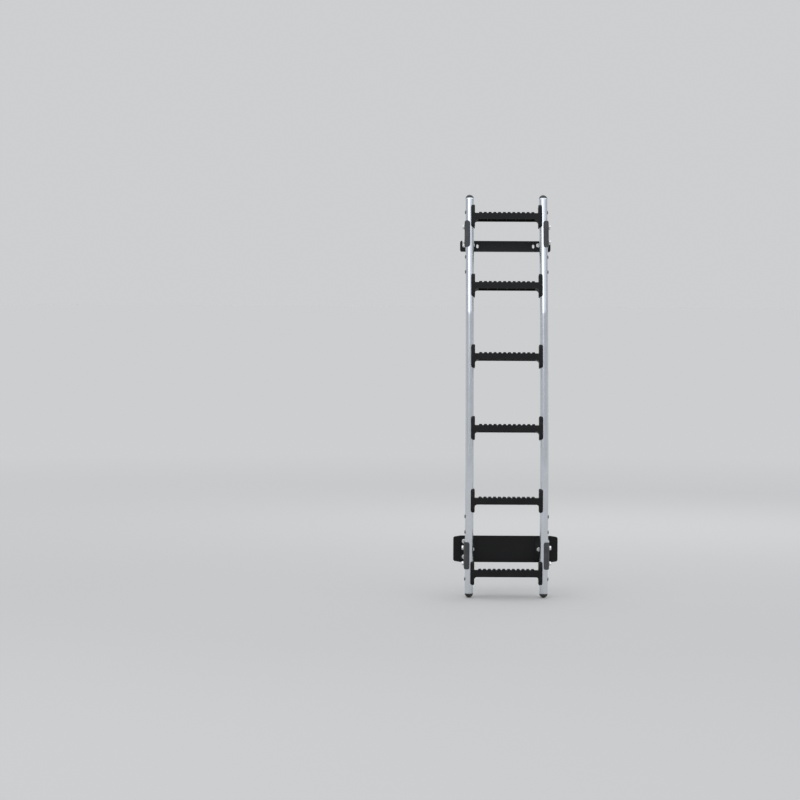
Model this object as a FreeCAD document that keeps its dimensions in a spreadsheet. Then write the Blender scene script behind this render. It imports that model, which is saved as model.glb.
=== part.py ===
"""Rear door ladder: two bent tubes, six moulded rungs, four stand-off brackets and two fixing plates.

Millimetres. +Z is up, the climbing side faces -Y and X = 0 is the plane of symmetry.
The origin is the centre of the lower plate's back face, where the ladder meets the door.
"""
import FreeCAD, Part
import Sketcher
import math
import os
import re

Vector = FreeCAD.Vector

# Driving dimensions: name, value, meaning
DRIVING = [
    ("tube_dia", 28, "outside diameter of a stile tube"),
    ("tube_wall", 2, "wall of a stile tube"),
    ("stile_spacing", 248, "distance between the centrelines of the stiles"),
    ("rung_pitch", 241, "distance between rungs, along the stile"),
    ("foot_past_rung", 68.5, "stile below the centre of the first rung"),
    ("head_past_rung", 63.5, "stile above the centre of the last rung"),
    ("lean_mid", 9.5, "lean of the middle run towards the door, degrees"),
    ("lean_top", 15, "lean of the top run towards the door, degrees"),
    ("low_bend_radius", 450, "centreline radius of the lower bend"),
    ("high_bend_radius", 120, "centreline radius of the upper bend"),
    ("low_bend_past_rung", 70, "centre of the second rung to the start of the lower bend"),
    ("high_bend_past_rung", 139, "centre of the fourth rung to the start of the upper bend"),
    ("end_hole", 48.5, "end of a stile to the first hole of its row"),
    ("hole_pitch", 52, "spacing of the holes in a row"),
    ("insert_hole_dia", 11, "diameter of the holes in a row"),
    ("bore_gap", 0.2, "clearance of every saddle round a tube"),
    ("rung_depth", 34, "front to back of a rung"),
    ("rung_body", 21.2, "height of a rung under its tread blocks"),
    ("block_height", 4, "height of a tread block"),
    ("block_base", 12, "width of a tread block at its foot"),
    ("block_top", 8, "width of a tread block at its top"),
    ("block_pitch", 16, "spacing of the tread blocks"),
    ("block_setback", 1.5, "tread blocks stop short of the rung's front and back"),
    ("saddle_height", 80, "height of a rung's end saddle"),
    ("saddle_wall", 3.1, "thinnest wall of an end saddle"),
    ("saddle_lip", 6.2, "edge of an end saddle to the tube's centreline"),
    ("saddle_corner", 11, "corner radius of an end saddle, seen from the side"),
    ("saddle_end", 4.5, "radius of its top and bottom towards the rung, seen from the front"),
    ("under_fillet", 9, "radius between a rung's underside and its saddle"),
    ("over_fillet", 2, "radius between a rung's tread and its saddle"),
    ("rung_shell", 3, "walls of a rung round its hollow underside"),
    ("rung_rib", 2.4, "cross ribs under a rung"),
    ("rib_setback", 2.5, "those ribs stop short of the rung's underside"),
    ("screw_dia", 4, "thread of a rung screw"),
    ("screw_head_dia", 7.6, "head of a rung screw, sunk flush in the saddle"),
    ("screw_head", 1.8, "height of that head"),
    ("screw_length", 12, "length of a rung screw"),
    ("screw_rise", 26, "rung screws above and below the rung's centre"),
    ("clamp_length", 90, "length of the part of a bracket that grips the tube"),
    ("clamp_wall", 3.3, "wall of that part"),
    ("clamp_corner", 9, "outer corner radius of its section"),
    ("clamp_lip", 1, "its front edge past the tube's centreline"),
    ("clamp_end", 5, "radius of its top and bottom on the outer side, seen from the front"),
    ("web_thick", 6, "web of a bracket"),
    ("web_start", 3, "parallel stretch of the web behind the tube"),
    ("web_fillet", 2, "radius where the web meets the foot and the clamp"),
    ("foot_thick", 6, "foot of a bracket"),
    ("foot_margin", 1.2, "foot beyond the outer washers, sideways"),
    ("foot_corner", 5, "corner radius of a foot"),
    ("outer_bolt", 14.5, "outer foot bolts to the centreline of the stile, sideways"),
    ("inner_bolt", 12.5, "inner foot bolts to the centreline of the stile, sideways"),
    ("low_bolt_rise", 26, "outer bolts of a lower foot above and below its centre"),
    ("low_foot_height", 76, "height of a lower foot"),
    ("low_foot_shift", 14, "centre of a lower foot above the centre of its clamp"),
    ("low_reach", 84, "centreline of the stile to the lower plate"),
    ("low_clamp_corner", 6.5, "radius of a lower clamp's top and bottom at its front edge"),
    ("top_foot_inset", 2, "top and bottom of an upper foot inside the crossbar's edges"),
    ("top_foot_shift", 7.5, "centre of an upper foot below the centre of its clamp"),
    ("top_reach", 112, "centreline of the stile to the upper crossbar"),
    ("top_clamp_corner", 9, "radius of an upper clamp's top and bottom at its front edge"),
    ("plate_width", 350, "lower plate, sideways"),
    ("plate_height", 89, "lower plate, at its middle"),
    ("plate_thick", 8, "lower plate"),
    ("plate_taper", 24, "length of the tapered ends of the lower plate"),
    ("plate_drop", 4, "loss of height at each edge over that taper"),
    ("plate_corner", 7, "corner radius of the lower plate"),
    ("bar_width", 308, "upper crossbar, sideways"),
    ("bar_height", 37, "upper crossbar"),
    ("bar_thick", 8, "upper crossbar"),
    ("bar_corner", 6, "corner radius of the upper crossbar"),
    ("slot_spacing", 190, "distance between the crossbar's slots"),
    ("slot_width", 7.5, "width of a slot"),
    ("slot_length", 14.5, "length of a slot, end to end"),
    ("bolt_dia", 8, "thread of every bolt"),
    ("bolt_flats", 13, "bolt head across its flats"),
    ("bolt_head", 5.3, "height of a bolt head"),
    ("bolt_hole_gap", 0.5, "clearance round a bolt in a plain hole"),
    ("thread_gap", 0.1, "clearance round a thread in its tapped hole"),
    ("washer_dia", 16, "washer"),
    ("washer_thick", 1.6, "washer"),
    ("clamp_bolt_length", 20, "clamp bolt under its head"),
    ("bolt_short", 0.5, "longest foot bolts end this far inside the back of the plates"),
    ("door_bolt_reach", 22, "thread of a door bolt beyond the back of the lower plate"),
    ("door_bolt_neck", 7.2, "reduced shank of a door bolt in front of that thread"),
    ("insert_length", 13, "insert nut"),
    ("insert_bulge_dia", 14, "insert nut where it is upset behind the wall"),
    ("insert_bulge", 3, "length of that upset part"),
    ("fit_gap", 0.1, "clearance of plugs, caps and insert nuts in their holes"),
    ("cap_rim", 1, "straight rim of an end cap"),
    ("cap_dome", 13, "end cap beyond the end of the tube"),
    ("cap_spigot", 22, "end cap inside the tube"),
    ("cap_shell", 2.5, "wall of that spigot"),
    ("cap_lead", 3, "tapered lead of that spigot"),
    ("plug_dia", 13, "head of a hole plug"),
    ("plug_rise", 2.5, "hole plug beyond the tube"),
    ("plug_rim", 0.6, "thinnest rim of a hole plug"),
    ("plug_depth", 7, "hole plug below the top of the tube"),
]

# Worked-out dimensions: name, formula
DERIVED = [
    ("tube_radius", "tube_dia / 2"),
    ("tube_bore", "tube_radius - tube_wall"),
    ("saddle_radius", "tube_radius + bore_gap"),
    ("half_spacing", "stile_spacing / 2"),
    ("clamp_face", "saddle_radius + clamp_wall"),
    ("clamp_mid", "end_hole + 1.5 * hole_pitch"),
    ("stile_y", "0 - plate_thick - low_reach"),
    ("stile_foot_z", "0 - clamp_mid - low_foot_shift"),
    ("low_arc", "low_bend_radius * lean_mid * pi / 180"),
    ("high_arc", "high_bend_radius * (lean_top - lean_mid) * pi / 180"),
    ("low_run", "foot_past_rung + rung_pitch + low_bend_past_rung"),
    ("mid_first_rung", "rung_pitch - low_bend_past_rung - low_arc"),
    ("mid_run", "mid_first_rung + rung_pitch + high_bend_past_rung"),
    ("top_first_rung", "rung_pitch - high_bend_past_rung - high_arc"),
    ("top_run", "top_first_rung + rung_pitch + head_past_rung"),
    ("mid_start_y", "low_bend_radius * (1 - cos(lean_mid))"),
    ("mid_start_z", "low_run + low_bend_radius * sin(lean_mid)"),
    ("mid_end_y", "mid_start_y + mid_run * sin(lean_mid)"),
    ("mid_end_z", "mid_start_z + mid_run * cos(lean_mid)"),
    ("top_start_y", "mid_end_y + high_bend_radius * (cos(lean_mid) - cos(lean_top))"),
    ("top_start_z", "mid_end_z + high_bend_radius * (sin(lean_top) - sin(lean_mid))"),
    ("top_end_y", "top_start_y + top_run * sin(lean_top)"),
    ("top_end_z", "top_start_z + top_run * cos(lean_top)"),
    ("saddle_in", "half_spacing - saddle_radius - saddle_wall"),
    ("saddle_out", "half_spacing - saddle_lip"),
    ("rung_bottom", "0 - (rung_body + block_height) / 2"),
    ("rung_tread", "rung_bottom + rung_body"),
    ("foot_half", "outer_bolt + washer_dia / 2 + foot_margin"),
    ("top_foot_height", "bar_height - 2 * top_foot_inset"),
    ("thread_radius", "bolt_dia / 2"),
    ("tapped_radius", "thread_radius + thread_gap"),
    ("plain_radius", "thread_radius + bolt_hole_gap"),
    ("insert_radius", "insert_hole_dia / 2 - fit_gap"),
    ("insert_top", "sqrt(tube_radius ^ 2 - insert_radius ^ 2) - fit_gap"),
    ("bulge_top", "sqrt(tube_bore ^ 2 - (insert_bulge_dia / 2) ^ 2) - fit_gap"),
]

BLOCKS = 12
CHAMBERS = 6
HOLES_IN_ROW = 5
CLAMPED_HOLES = (1, 2)
SIDES = {"left": -1, "right": 1}

os.makedirs("parts", exist_ok=True)
doc = FreeCAD.newDocument("door_ladder")
sheet = doc.addObject("Spreadsheet::Sheet", "Sizes")
for row, (name, value, meaning) in enumerate(DRIVING, start=1):
    sheet.set(f"A{row}", meaning)
    sheet.set(f"B{row}", str(value))
    sheet.setAlias(f"B{row}", name)
doc.recompute()
for row, (name, rule) in enumerate(DERIVED, start=len(DRIVING) + 1):
    sheet.set(f"A{row}", name.replace("_", " "))
    sheet.set(f"B{row}", f"={rule}")
    sheet.setAlias(f"B{row}", name)
    doc.recompute()

ALIASES = {name for name, *rest in DRIVING + DERIVED}


def size(formula):
    """The number that a formula of sheet names comes to."""
    return float(sheet.evalExpression(str(formula)))


def bound(formula):
    """The same formula as another object has to write it, with the sheet's name before each alias."""
    def full_name(word):
        return f"Sizes.{word[0]}" if word[0] in ALIASES else word[0]

    return re.sub(r"[a-z]\w*", full_name, str(formula))


def bind(thing, prop, formula):
    """Tie a property to a formula of sheet names."""
    thing.setExpression(prop, bound(formula))


def origin_part(body, role):
    """A plane or axis of the body's own origin."""
    return next(part for part in body.Origin.OriginFeatures if part.Role == role)


def new_body(label):
    """An empty sub-part."""
    body = doc.addObject("PartDesign::Body", label)
    body.Label = label
    return body


def new_sketch(body, name, plane, offset="0"):
    """A sketch on an origin plane of the body, moved along the plane's normal by a formula."""
    sketch = body.newObject("Sketcher::SketchObject", name)
    sketch.AttachmentSupport = [(origin_part(body, plane), "")]
    sketch.MapMode = "FlatFace"
    bind(sketch, "AttachmentOffset.Base.z", offset)
    return sketch


def pin_point(sketch, geometry, point, x, y):
    """Hold one point of a sketch at formulas for its two coordinates."""
    for kind, formula, axis in (("DistanceX", x, -2), ("DistanceY", y, -1)):
        if str(formula) == "0":
            sketch.addConstraint(Sketcher.Constraint("PointOnObject", geometry, point, axis))
            continue
        number = sketch.addConstraint(Sketcher.Constraint(kind, -1, 1, geometry, point, size(formula)))
        bind(sketch, f"Constraints[{number}]", formula)


def add_circle(sketch, x, y, radius):
    """A circle whose centre and radius follow formulas."""
    centre = Vector(size(x), size(y), 0)
    index = sketch.addGeometry(Part.Circle(centre, Vector(0, 0, 1), size(radius)), False)
    pin_point(sketch, index, 3, x, y)
    number = sketch.addConstraint(Sketcher.Constraint("Radius", index, size(radius)))
    bind(sketch, f"Constraints[{number}]", radius)


def add_outline(sketch, corners, closed=True):
    """Straight runs and arcs through corners given as formulas.

    A corner is (x, y), reached by a straight run, or (x, y, radius, turn), reached by an arc of
    less than half a turn: turn +1 goes anticlockwise and -1 clockwise.
    """
    spots = [Vector(size(corner[0]), size(corner[1]), 0) for corner in corners]
    legs = []
    for place, corner in enumerate(corners):
        if place == 0 and not closed:
            continue
        start, end = spots[place - 1], spots[place]
        if len(corner) == 2:
            legs.append((sketch.addGeometry(Part.LineSegment(start, end), False), 1, 2, place))
            continue
        radius, turn = size(corner[2]), corner[3]
        chord = end - start
        across = Vector(-chord.y, chord.x, 0).normalize() * turn
        centre = (start + end) * 0.5 + across * math.sqrt(max(radius ** 2 - chord.Length ** 2 / 4, 0))
        first, last = (start, end) if turn > 0 else (end, start)
        angles = [math.atan2(spot.y - centre.y, spot.x - centre.x) for spot in (first, last)]
        arc = Part.ArcOfCircle(Part.Circle(centre, Vector(0, 0, 1), radius), angles[0], angles[1])
        index = sketch.addGeometry(arc, False)
        number = sketch.addConstraint(Sketcher.Constraint("Radius", index, radius))
        bind(sketch, f"Constraints[{number}]", corner[2])
        ends = (1, 2) if turn > 0 else (2, 1)
        legs.append((index, *ends, place))
    for index, start_point, end_point, place in legs:
        pin_point(sketch, index, end_point, corners[place][0], corners[place][1])
    if not closed:
        pin_point(sketch, legs[0][0], legs[0][1], corners[0][0], corners[0][1])
    for before, after in zip(legs if closed else legs[:-1], legs[1:] + legs[:1]):
        sketch.addConstraint(Sketcher.Constraint("Coincident", before[0], before[2], after[0], after[1]))


def rounded_box(half_width, half_height, radius):
    """The corners of a rounded rectangle about the sketch's origin, for add_outline."""
    low_x, low_y = f"0 - ({half_width})", f"0 - ({half_height})"
    return [
        (f"{low_x} + {radius}", low_y, radius, 1),
        (f"{half_width} - {radius}", low_y),
        (half_width, f"{low_y} + {radius}", radius, 1),
        (half_width, f"{half_height} - {radius}"),
        (f"{half_width} - {radius}", half_height, radius, 1),
        (f"{low_x} + {radius}", half_height),
        (low_x, f"{half_height} - {radius}", radius, 1),
        (low_x, f"{low_y} + {radius}"),
    ]


def square_box(half_width, half_height):
    """The corners of a rectangle about the sketch's origin."""
    low_x, low_y = f"0 - ({half_width})", f"0 - ({half_height})"
    return [(low_x, low_y), (half_width, low_y), (half_width, half_height), (low_x, half_height)]


def pad(body, name, sketch, length, midplane=False, reversed_way=False):
    """A pad of a sketch, its length a formula."""
    feature = body.newObject("PartDesign::Pad", name)
    feature.Profile = sketch
    bind(feature, "Length", length)
    feature.Midplane = midplane
    feature.Reversed = reversed_way
    doc.recompute()
    return feature


def pocket(body, name, sketch, length=None, reversed_way=False):
    """A pocket to a formula's depth, or right through both ways; it has to take something away."""
    before = body.Tip.Shape.Volume
    feature = body.newObject("PartDesign::Pocket", name)
    feature.Profile = sketch
    if length is None:
        feature.Type = "ThroughAll"
        feature.Midplane = True
    else:
        bind(feature, "Length", length)
        feature.Reversed = reversed_way
    doc.recompute()
    if feature.Shape.Volume >= before:
        raise ValueError(f"{body.Label}: {name} removes nothing")
    return feature


def revolve(body, name, sketch):
    """A full turn of a sketch on the XZ plane about the body's Z axis."""
    feature = body.newObject("PartDesign::Revolution", name)
    feature.Profile = sketch
    feature.ReferenceAxis = (origin_part(body, "Z_Axis"), [""])
    feature.Angle = 360
    doc.recompute()
    return feature


def repeat_along_x(body, name, feature, pitch, count):
    """Copies of a feature along the body's X axis."""
    pattern = body.newObject("PartDesign::LinearPattern", name)
    pattern.Originals = [feature]
    pattern.Direction = (origin_part(body, "X_Axis"), [""])
    bind(pattern, "Length", f"({pitch}) * {count - 1}")
    pattern.Occurrences = count
    body.Tip = pattern
    doc.recompute()
    return pattern


def round_edges(body, name, radius, wanted):
    """A fillet on the edges of the body's last feature that the test picks by their middle and ends."""
    base = body.Tip
    picked = []
    for number, edge in enumerate(base.Shape.Edges, start=1):
        first, last = edge.Vertexes[0].Point, edge.Vertexes[-1].Point
        if wanted((first + last) * 0.5, last - first):
            picked.append(f"Edge{number}")
    if not picked:
        raise ValueError(f"{body.Label}: {name} finds no edge")
    feature = body.newObject("PartDesign::Fillet", name)
    feature.Base = (base, picked)
    bind(feature, "Radius", radius)
    doc.recompute()
    return feature


def near(value, formula):
    """True where a coordinate is at a formula's value."""
    return abs(value - size(formula)) < 0.01


# Places along the stiles

class Station:
    """A place on or beside the stiles: formulas for its Y, its Z and the lean of the run there."""

    def __init__(self, y, z, lean):
        self.y, self.z, self.lean = y, z, lean

    def shifted(self, back="0", up="0"):
        """The place moved square to the run, towards the door, and along the run."""
        return Station(
            f"({self.y} + ({back}) * cos({self.lean}) + ({up}) * sin({self.lean}))",
            f"({self.z} - ({back}) * sin({self.lean}) + ({up}) * cos({self.lean}))",
            self.lean,
        )


LOW_START = Station("stile_y", "stile_foot_z", "0")
MID_START = Station("(stile_y + mid_start_y)", "(stile_foot_z + mid_start_z)", "lean_mid")
TOP_START = Station("(stile_y + top_start_y)", "(stile_foot_z + top_start_z)", "lean_top")
TOP_END = TOP_START.shifted(up="top_run")
RUNG_STATIONS = [
    LOW_START.shifted(up="foot_past_rung"),
    LOW_START.shifted(up="foot_past_rung + rung_pitch"),
    MID_START.shifted(up="mid_first_rung"),
    MID_START.shifted(up="mid_first_rung + rung_pitch"),
    TOP_START.shifted(up="top_first_rung"),
    TOP_START.shifted(up="top_first_rung + rung_pitch"),
]
LOW_HOLES = [LOW_START.shifted(up=f"end_hole + {k} * hole_pitch") for k in range(HOLES_IN_ROW)]
TOP_HOLES = [TOP_END.shifted(up=f"0 - end_hole - {k} * hole_pitch") for k in range(HOLES_IN_ROW)]
LOW_CLAMP = LOW_START.shifted(up="clamp_mid")
TOP_CLAMP = TOP_END.shifted(up="0 - clamp_mid")

# Bolts of a foot, from the centre of the foot: outwards and along the stile
INNER_BOLT = ("0 - inner_bolt", "0")
OUTER_BOLTS = {
    "low": [("outer_bolt", "low_bolt_rise"), ("outer_bolt", "(0 - low_bolt_rise)")],
    "top": [("outer_bolt", "0")],
}

# Turns that point a sub-part's own +Z some other way: axis and angle
UPWARDS = ("0; 0; 1", 0)
DOWNWARDS = ("1; 0; 0", 180)
FORWARDS = ("1; 0; 0", 90)
OUTWARDS = {-1: ("0; 1; 0", -90), 1: ("0; 1; 0", 90)}


def seat(thing, station, across="0", turn=UPWARDS):
    """Place a sub-part at a station, leaning with the run, after a turn of its own."""
    base = f"vector({bound(across)}; {bound(station.y)}; {bound(station.z)})"
    lean = f"rotation(vector(1; 0; 0); 0 - {bound(station.lean)})"
    own = f"rotation(vector({turn[0]}); {turn[1]})"
    thing.setExpression("Placement", f"placement({base}; {lean} * {own})")


def group(label, master, seats):
    """One sub-part of many separate copies of a master, each at its own seat."""
    copies = []
    for number, (station, across, turn) in enumerate(seats, start=1):
        copy = doc.addObject("App::Link", f"{label}_{number}")
        copy.LinkedObject = master
        seat(copy, station, across, turn)
        copies.append(copy)
    doc.recompute()
    whole = doc.addObject("Part::Compound", label)
    whole.Label = label
    whole.Links = copies
    doc.recompute()
    return whole


# The stiles: bent tubes, drilled on the outer side for clamps and plugs and inside for rung screws

def make_stile(name, side):
    """A tube swept along its centreline, then drilled through one wall at a time."""
    body = new_body(name)
    path = new_sketch(body, f"{name}_path", "YZ_Plane")
    add_outline(path, [
        ("0", "0"),
        ("0", "low_run"),
        ("mid_start_y", "mid_start_z", "low_bend_radius", -1),
        ("mid_end_y", "mid_end_z"),
        ("top_start_y", "top_start_z", "high_bend_radius", -1),
        ("top_end_y", "top_end_z"),
    ], closed=False)
    section = new_sketch(body, f"{name}_section", "XY_Plane")
    add_circle(section, "0", "0", "tube_radius")
    add_circle(section, "0", "0", "tube_bore")
    doc.recompute()
    tube = body.newObject("PartDesign::AdditivePipe", f"{name}_tube")
    tube.Profile = section
    tube.Spine = path
    doc.recompute()

    outer = new_sketch(body, f"{name}_row_holes", "YZ_Plane")
    for station in LOW_HOLES + TOP_HOLES:
        add_circle(outer, f"{station.y} - stile_y", f"{station.z} - stile_foot_z", "insert_hole_dia / 2")
    doc.recompute()
    pocket(body, f"{name}_row", outer, "tube_dia", reversed_way=side > 0)

    inner = new_sketch(body, f"{name}_screw_holes", "YZ_Plane")
    for station in RUNG_STATIONS:
        for rise in ("screw_rise", "0 - screw_rise"):
            spot = station.shifted(up=rise)
            add_circle(inner, f"{spot.y} - stile_y", f"{spot.z} - stile_foot_z", "screw_dia / 2 + thread_gap")
    doc.recompute()
    pocket(body, f"{name}_screws", inner, "tube_dia", reversed_way=side < 0)
    seat(body, LOW_START, f"{side} * half_spacing")
    return body


# The rungs: mouldings with a saddle at each end, a castellated tread and a hollow, ribbed underside

def make_rung(name, station):
    """The front view padded front to back, rounded, bored for the tubes, cored and given its tread."""
    body = new_body(name)
    top, bottom = "saddle_height / 2", "0 - saddle_height / 2"
    left_in, left_out = "0 - saddle_in", "0 - saddle_out"
    front = new_sketch(body, f"{name}_front", "XZ_Plane")
    add_outline(front, [
        ("under_fillet - saddle_in", "rung_bottom", "under_fillet", -1),
        ("saddle_in - under_fillet", "rung_bottom"),
        ("saddle_in", "rung_bottom - under_fillet", "under_fillet", -1),
        ("saddle_in", f"{bottom} + saddle_end"),
        ("saddle_in + saddle_end", bottom, "saddle_end", 1),
        ("saddle_out", bottom),
        ("saddle_out", top),
        ("saddle_in + saddle_end", top),
        ("saddle_in", f"{top} - saddle_end", "saddle_end", 1),
        ("saddle_in", "rung_tread + over_fillet"),
        ("saddle_in - over_fillet", "rung_tread", "over_fillet", -1),
        ("over_fillet - saddle_in", "rung_tread"),
        (left_in, "rung_tread + over_fillet", "over_fillet", -1),
        (left_in, f"{top} - saddle_end"),
        (f"{left_in} - saddle_end", top, "saddle_end", 1),
        (left_out, top),
        (left_out, bottom),
        (f"{left_in} - saddle_end", bottom),
        (left_in, f"{bottom} + saddle_end", "saddle_end", 1),
        (left_in, "rung_bottom - under_fillet"),
    ])
    doc.recompute()
    pad(body, f"{name}_bar", front, "rung_depth", midplane=True)
    side_view = new_sketch(body, f"{name}_side_view", "YZ_Plane")
    add_outline(side_view, square_box("rung_depth", "saddle_height"))
    add_outline(side_view, rounded_box("rung_depth / 2", "saddle_height / 2", "saddle_corner"))
    doc.recompute()
    pocket(body, f"{name}_saddle_corners", side_view)

    bores = new_sketch(body, f"{name}_bores", "XY_Plane")
    for side in SIDES.values():
        add_circle(bores, f"{side} * half_spacing", "0", "saddle_radius")
    doc.recompute()
    pocket(body, f"{name}_tube_seats", bores)

    chamber_half = "(block_pitch - rung_rib / 2)"
    first_chamber = f"(0 - block_pitch * {CHAMBERS - 1})"
    wall_y = "(rung_depth / 2 - rung_shell)"
    mouth = new_sketch(body, f"{name}_mouth", "XY_Plane", "rung_bottom")
    add_outline(mouth, square_box(f"(block_pitch * {CHAMBERS - 1} + {chamber_half})", wall_y))
    doc.recompute()
    pocket(body, f"{name}_rib_setback", mouth, "rib_setback", reversed_way=True)
    hollow = new_sketch(body, f"{name}_chamber", "XY_Plane", "rung_bottom")
    add_outline(hollow, [
        (f"{first_chamber} - {chamber_half}", f"0 - {wall_y}"),
        (f"{first_chamber} + {chamber_half}", f"0 - {wall_y}"),
        (f"{first_chamber} + {chamber_half}", wall_y),
        (f"{first_chamber} - {chamber_half}", wall_y),
    ])
    doc.recompute()
    core = pocket(body, f"{name}_core", hollow, "rung_body - rung_shell", reversed_way=True)
    repeat_along_x(body, f"{name}_cores", core, "2 * block_pitch", CHAMBERS)

    for word, side in SIDES.items():
        for step, radius, depth in (("head", "screw_head_dia / 2", "screw_head"),
                                    ("shank", "screw_dia / 2 + thread_gap", "saddle_wall + bore_gap")):
            drill = new_sketch(body, f"{name}_{word}_{step}", "YZ_Plane", f"{side} * saddle_in")
            for rise in ("screw_rise", "0 - screw_rise"):
                add_circle(drill, "0", rise, radius)
            doc.recompute()
            pocket(body, f"{name}_{word}_{step}s", drill, depth, reversed_way=side > 0)

    block = new_sketch(body, f"{name}_block", "XZ_Plane")
    first_block = f"(0 - block_pitch * {(BLOCKS - 1) / 2})"
    add_outline(block, [
        (f"{first_block} - block_base / 2", "rung_tread"),
        (f"{first_block} + block_base / 2", "rung_tread"),
        (f"{first_block} + block_top / 2", "rung_tread + block_height"),
        (f"{first_block} - block_top / 2", "rung_tread + block_height"),
    ])
    doc.recompute()
    tread = pad(body, f"{name}_tread_block", block, "rung_depth - 2 * block_setback", midplane=True)
    repeat_along_x(body, f"{name}_tread", tread, "block_pitch", BLOCKS)
    seat(body, station)
    return body


# The brackets: half a clamp round the outside of the tube, a web behind it and a foot on the plate

def make_bracket(name, side, station, place):
    """The section padded to its full height, trimmed to its side view, drilled and rounded."""
    reach = f"{place}_reach"
    shift = "low_foot_shift" if place == "low" else "(0 - top_foot_shift)"
    foot_half_height = f"{place}_foot_height / 2"
    clamp_half = "clamp_length / 2"
    foot_front = f"{reach} - foot_thick"
    body = new_body(name)
    section = new_sketch(body, f"{name}_section", "XY_Plane", f"0 - clamp_length")
    straight = "clamp_face - clamp_corner"
    root = "web_thick / 2 + web_fillet"
    outline = [
        ("0 - clamp_lip", "0 - clamp_face"),
        (straight, "0 - clamp_face"),
        ("clamp_face", f"0 - ({straight})", "clamp_corner", 1),
        ("clamp_face", straight),
        (straight, "clamp_face", "clamp_corner", 1),
        (root, "clamp_face"),
        ("web_thick / 2", "clamp_face + web_fillet", "web_fillet", -1),
        ("web_thick / 2", f"{foot_front} - web_fillet"),
        (root, foot_front, "web_fillet", -1),
        ("foot_half", foot_front),
        ("foot_half", reach),
        ("0 - foot_half", reach),
        ("0 - foot_half", foot_front),
        (f"0 - ({root})", foot_front),
        ("0 - web_thick / 2", f"{foot_front} - web_fillet", "web_fillet", -1),
        ("0 - web_thick / 2", "saddle_radius"),
        ("0", "saddle_radius"),
        ("saddle_radius", "0", "saddle_radius", -1),
        ("0", "0 - saddle_radius", "saddle_radius", -1),
        ("0 - clamp_lip", "0 - saddle_radius"),
    ]
    add_outline(section, [(f"{side} * ({c[0]})", c[1]) if len(c) == 2 else
                          (f"{side} * ({c[0]})", c[1], c[2], c[3] * side) for c in outline])
    doc.recompute()
    pad(body, f"{name}_profile", section, "2 * clamp_length")

    trim = new_sketch(body, f"{name}_side_view", "YZ_Plane")
    web_rear = f"{foot_front} - web_start"
    kept = [
        ("0 - 2 * clamp_face", f"0 - {clamp_half}"),
        ("clamp_face + web_start", f"0 - {clamp_half}"),
        (web_rear, f"{shift} - {foot_half_height}"),
        (f"{reach} + foot_thick", f"{shift} - {foot_half_height}"),
        (f"{reach} + foot_thick", f"{shift} + {foot_half_height}"),
        (web_rear, f"{shift} + {foot_half_height}"),
        ("clamp_face + web_start", clamp_half),
        ("0 - 2 * clamp_face", clamp_half),
    ]
    add_outline(trim, kept)
    far_y, far_z = f"{reach} + 2 * foot_thick", "1.5 * clamp_length"
    add_outline(trim, [
        ("0 - 3 * clamp_face", f"0 - {far_z}"),
        (far_y, f"0 - {far_z}"),
        (far_y, far_z),
        ("0 - 3 * clamp_face", far_z),
    ])
    doc.recompute()
    pocket(body, f"{name}_trim", trim)

    front_view = new_sketch(body, f"{name}_front_view", "XZ_Plane", "2 * clamp_face")
    far_x = "3 * clamp_face"
    add_outline(front_view, square_box("4 * clamp_face", "clamp_length"))
    add_outline(front_view, [
        (f"0 - {side} * {far_x}", f"0 - {clamp_half}"),
        (f"{side} * (clamp_face - clamp_end)", f"0 - {clamp_half}"),
        (f"{side} * clamp_face", f"clamp_end - {clamp_half}", "clamp_end", side),
        (f"{side} * clamp_face", f"{clamp_half} - clamp_end"),
        (f"{side} * (clamp_face - clamp_end)", clamp_half, "clamp_end", side),
        (f"0 - {side} * {far_x}", clamp_half),
    ])
    doc.recompute()
    pocket(body, f"{name}_clamp_ends", front_view, "3 * clamp_face")

    round_edges(body, f"{name}_clamp_corners", f"{place}_clamp_corner",
                lambda mid, run: abs(run.y) > 1 and near(abs(mid.z), clamp_half) and
                near(side * mid.x, "0 - clamp_lip") and mid.y < 0)
    round_edges(body, f"{name}_foot_corners", "foot_corner",
                lambda mid, run: abs(run.y) > 1 and near(abs(mid.x), "foot_half") and mid.y > 0)

    cross = new_sketch(body, f"{name}_clamp_holes", "YZ_Plane")
    for rise in ("hole_pitch / 2", "0 - hole_pitch / 2"):
        add_circle(cross, "0", rise, "plain_radius")
    doc.recompute()
    pocket(body, f"{name}_clamp_bolts", cross, "2 * clamp_face", reversed_way=side > 0)

    holes = new_sketch(body, f"{name}_foot_holes", "XZ_Plane", f"0 - ({foot_front})")
    for across, up in [INNER_BOLT, *OUTER_BOLTS[place]]:
        add_circle(holes, f"{side} * ({across})", f"{shift} + {up}", "plain_radius")
    doc.recompute()
    pocket(body, f"{name}_foot_bolts", holes, "2 * foot_thick")
    seat(body, station, f"{side} * half_spacing")
    return body


# The plates against the door

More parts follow.
